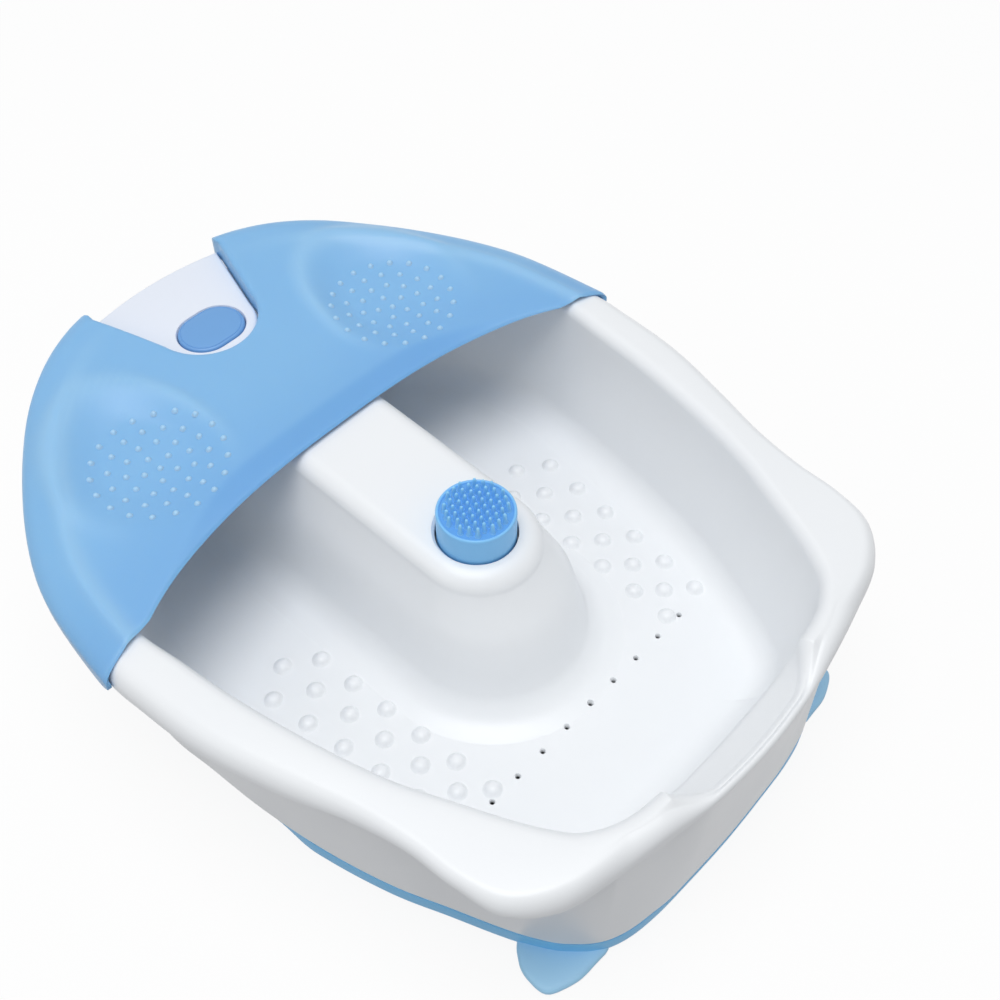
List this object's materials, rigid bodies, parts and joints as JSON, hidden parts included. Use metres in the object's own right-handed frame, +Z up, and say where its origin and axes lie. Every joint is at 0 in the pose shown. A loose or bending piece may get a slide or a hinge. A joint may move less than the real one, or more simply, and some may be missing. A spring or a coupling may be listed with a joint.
{
  "type": "foot spa basin",
  "caption": "Oval foot spa tub with rolled rim, pouring spout and centre arm, lift-off splash guard with foot rests, toe button, massage brush and an air blower in the base.",
  "frame": {"origin": "on the ground under the middle of the basin's box", "axes": "+Z up, -Y towards the spout and the user's legs, +Y towards the toe button, X across"},
  "size_m": [0.3632, 0.444, 0.1335],
  "materials": {
    "white_shell": "smooth moulded white plastic, satin gloss",
    "panel_white": "smooth cool white plastic, satin gloss",
    "guard_blue": "frosted translucent blue plastic",
    "base_blue": "moulded blue plastic, satin",
    "button_blue": "moulded blue plastic, satin",
    "brush_blue": "soft moulded blue plastic, matt",
    "grey_rubber": "matt grey rubber",
    "black_rubber": "matt black rubber",
    "dark_plastic": "matt dark plastic",
    "white_nylon": "natural white moulded plastic",
    "steel": "zinc plated steel",
    "motor_steel": "drawn steel can",
    "aluminium": "plain aluminium foil plate"
  },
  "bodies": {
    "tub": {"basin": "white_shell", "control_panel": "panel_white", "switch_housing": "dark_plastic", "push_switch": "dark_plastic", "brush_socket": "white_shell", "base_pan": "base_blue", "foot_pads": "grey_rubber", "blower_base": "white_nylon", "blower_cover": "white_nylon", "motor": "motor_steel", "motor_gasket": "black_rubber", "motor_bracket": "motor_steel", "air_hose": "black_rubber", "air_manifold": "white_nylon", "heater_plates": "aluminium", "thermal_cutout": "dark_plastic", "terminal_block": "white_nylon", "cord_gland": "black_rubber", "cord_clamp": "white_nylon", "base_screws": "steel", "bracket_screws": "steel", "blower_screws": "steel", "clamp_screws": "steel", "panel_screws": "steel", "button_spring": "steel"},
    "guard": {"splash_guard": "guard_blue"},
    "button": {"toe_button": "button_blue", "switch_plunger": "white_nylon"},
    "brush": {"massage_brush": "brush_blue"},
    "rotor": {"fan": "white_nylon", "motor_shaft": "steel"}
  },
  "joints": [
    {"name": "guard_lift", "type": "slide", "parent": "tub", "child": "guard", "axis": [0, 0, 1], "range_m": [0, 0.15]},
    {"name": "button_press", "type": "slide", "parent": "tub", "child": "button", "axis": [0, 0, -1], "range_m": [0, 0.003], "stiffness_N_per_m": 400, "springref_m": -0.002, "deforming": ["button_spring"]},
    {"name": "brush_lift", "type": "slide", "parent": "tub", "child": "brush", "axis": [0, 0, 1], "range_m": [0, 0.08]},
    {"name": "fan_spin", "type": "hinge", "parent": "tub", "child": "rotor", "pos_m": [0, 0.02, 0.02], "axis": [0, 0, 1], "continuous": true}
  ]
}
